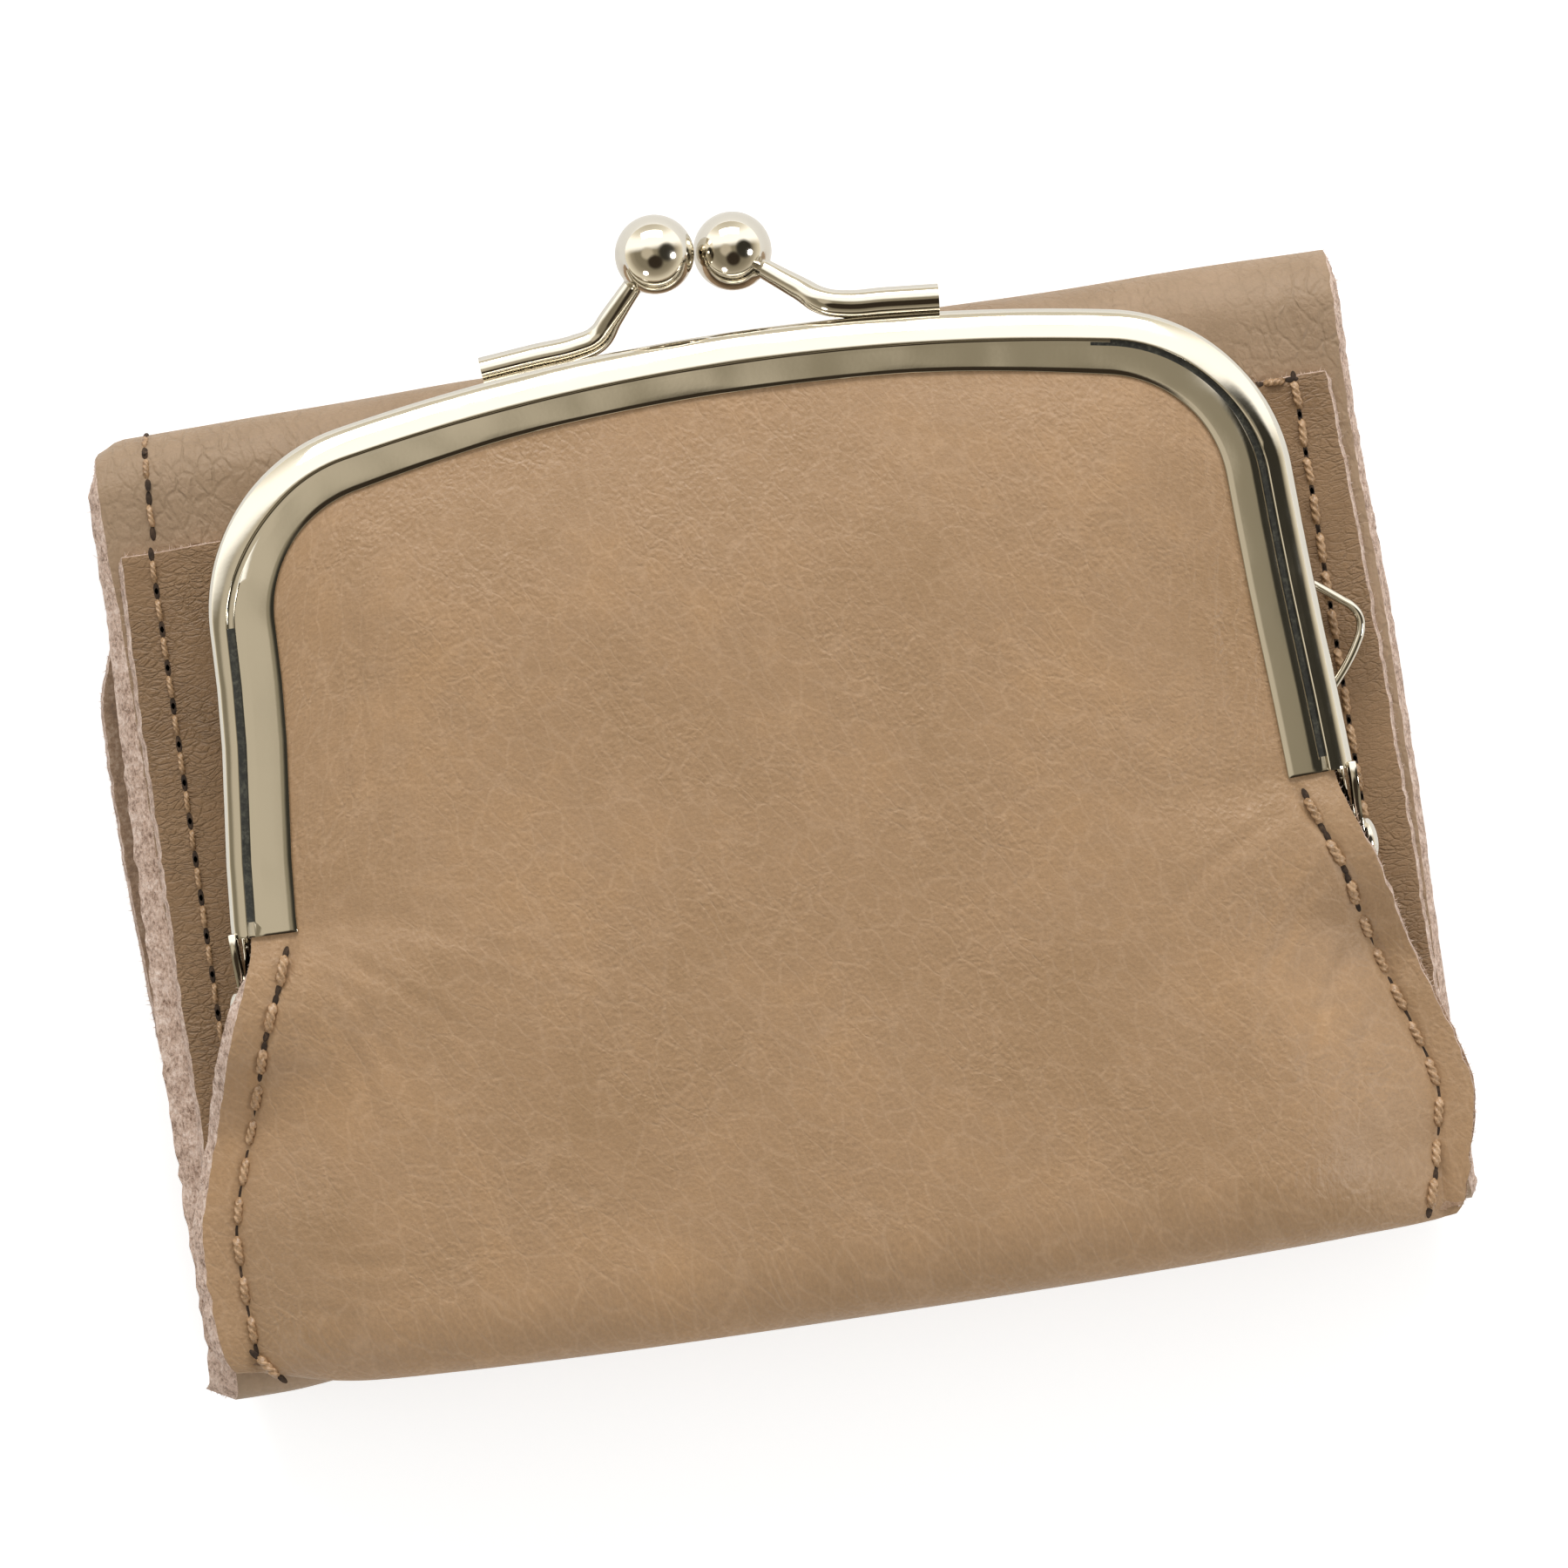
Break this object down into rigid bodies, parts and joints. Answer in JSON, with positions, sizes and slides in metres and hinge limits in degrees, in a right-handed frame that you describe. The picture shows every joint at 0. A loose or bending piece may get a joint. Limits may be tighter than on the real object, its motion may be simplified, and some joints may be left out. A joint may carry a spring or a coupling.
{
  "type": "trifold wallet with kiss-lock coin purse",
  "caption": "Small leather wallet that folds in three, with a kiss-lock coin purse on its front, a snap fastener, card pockets and a wire strap loop.",
  "frame": {"origin": "centre of the bounding box seen from above, on the outer face of the back flap, on which the closed wallet lies", "axes": "+X across the wallet towards the open side and the strap loop, +Y up the wallet towards the top fold and the clasp balls, +Z out of the purse's front"},
  "size_m": [0.1036, 0.0888, 0.0188],
  "materials": {
    "cover_leather": "smooth waxed cowhide, fine grain, raw edges",
    "purse_leather": "smooth waxed cowhide, fine grain, pulled tight in the frame",
    "lining_leather": "split leather, matt",
    "thread": "waxed twisted thread",
    "nickel": "polished nickel plate",
    "paper_cord": "twisted kraft paper"
  },
  "bodies": {
    "wallet": {"front_cover": "cover_leather", "top_fold": "cover_leather", "bottom_fold": "cover_leather", "pocket_panel": "cover_leather", "bill_liner": "lining_leather", "closed_side_stitches": "thread", "open_side_stitches": "thread", "purse_rear": "purse_leather", "purse_front_lower": "purse_leather", "purse_front_crease": "purse_leather", "purse_seam_stitches": "thread", "purse_crease_stitches": "thread", "purse_base_stitches": "thread", "rear_frame": "nickel", "rear_paper_cord": "paper_cord", "rear_clasp_arm": "nickel", "rear_clasp_ball": "nickel", "strap_loop": "nickel", "left_rivet": "nickel", "right_rivet": "nickel"},
    "front_half": {"front_frame": "nickel", "front_paper_cord": "paper_cord", "front_clasp_arm": "nickel", "front_clasp_ball": "nickel", "purse_front_upper": "purse_leather"},
    "flap": {"flap_cover": "cover_leather", "flap_card_pocket": "lining_leather", "flap_stitches": "thread", "snap_socket": "nickel", "snap_socket_plate": "nickel"},
    "tuck": {"tuck_cover": "cover_leather", "tuck_card_pocket": "lining_leather", "tuck_stitches": "thread", "snap_stud": "nickel", "snap_stud_plate": "nickel"}
  },
  "joints": [
    {"name": "purse_hinge", "type": "hinge", "parent": "wallet", "child": "front_half", "pos_m": [0.00115, -0.0131, 0.01415], "axis": [1, 0, 0], "range_deg": [0, 100], "deforming": ["purse_front_crease", "purse_crease_stitches"]},
    {"name": "back_flap", "type": "hinge", "parent": "wallet", "child": "flap", "pos_m": [0, 0.03196, 0.0047], "axis": [1, 0, 0], "range_deg": [0, 178], "deforming": ["top_fold"]},
    {"name": "tuck_fold", "type": "hinge", "parent": "wallet", "child": "tuck", "pos_m": [0, -0.04182, 0.00685], "axis": [-1, 0, 0], "range_deg": [0, 178], "deforming": ["bottom_fold"]}
  ],
  "couplings": [
    {"joint": "tuck_fold", "follows": "back_flap", "ratio": 1}
  ]
}
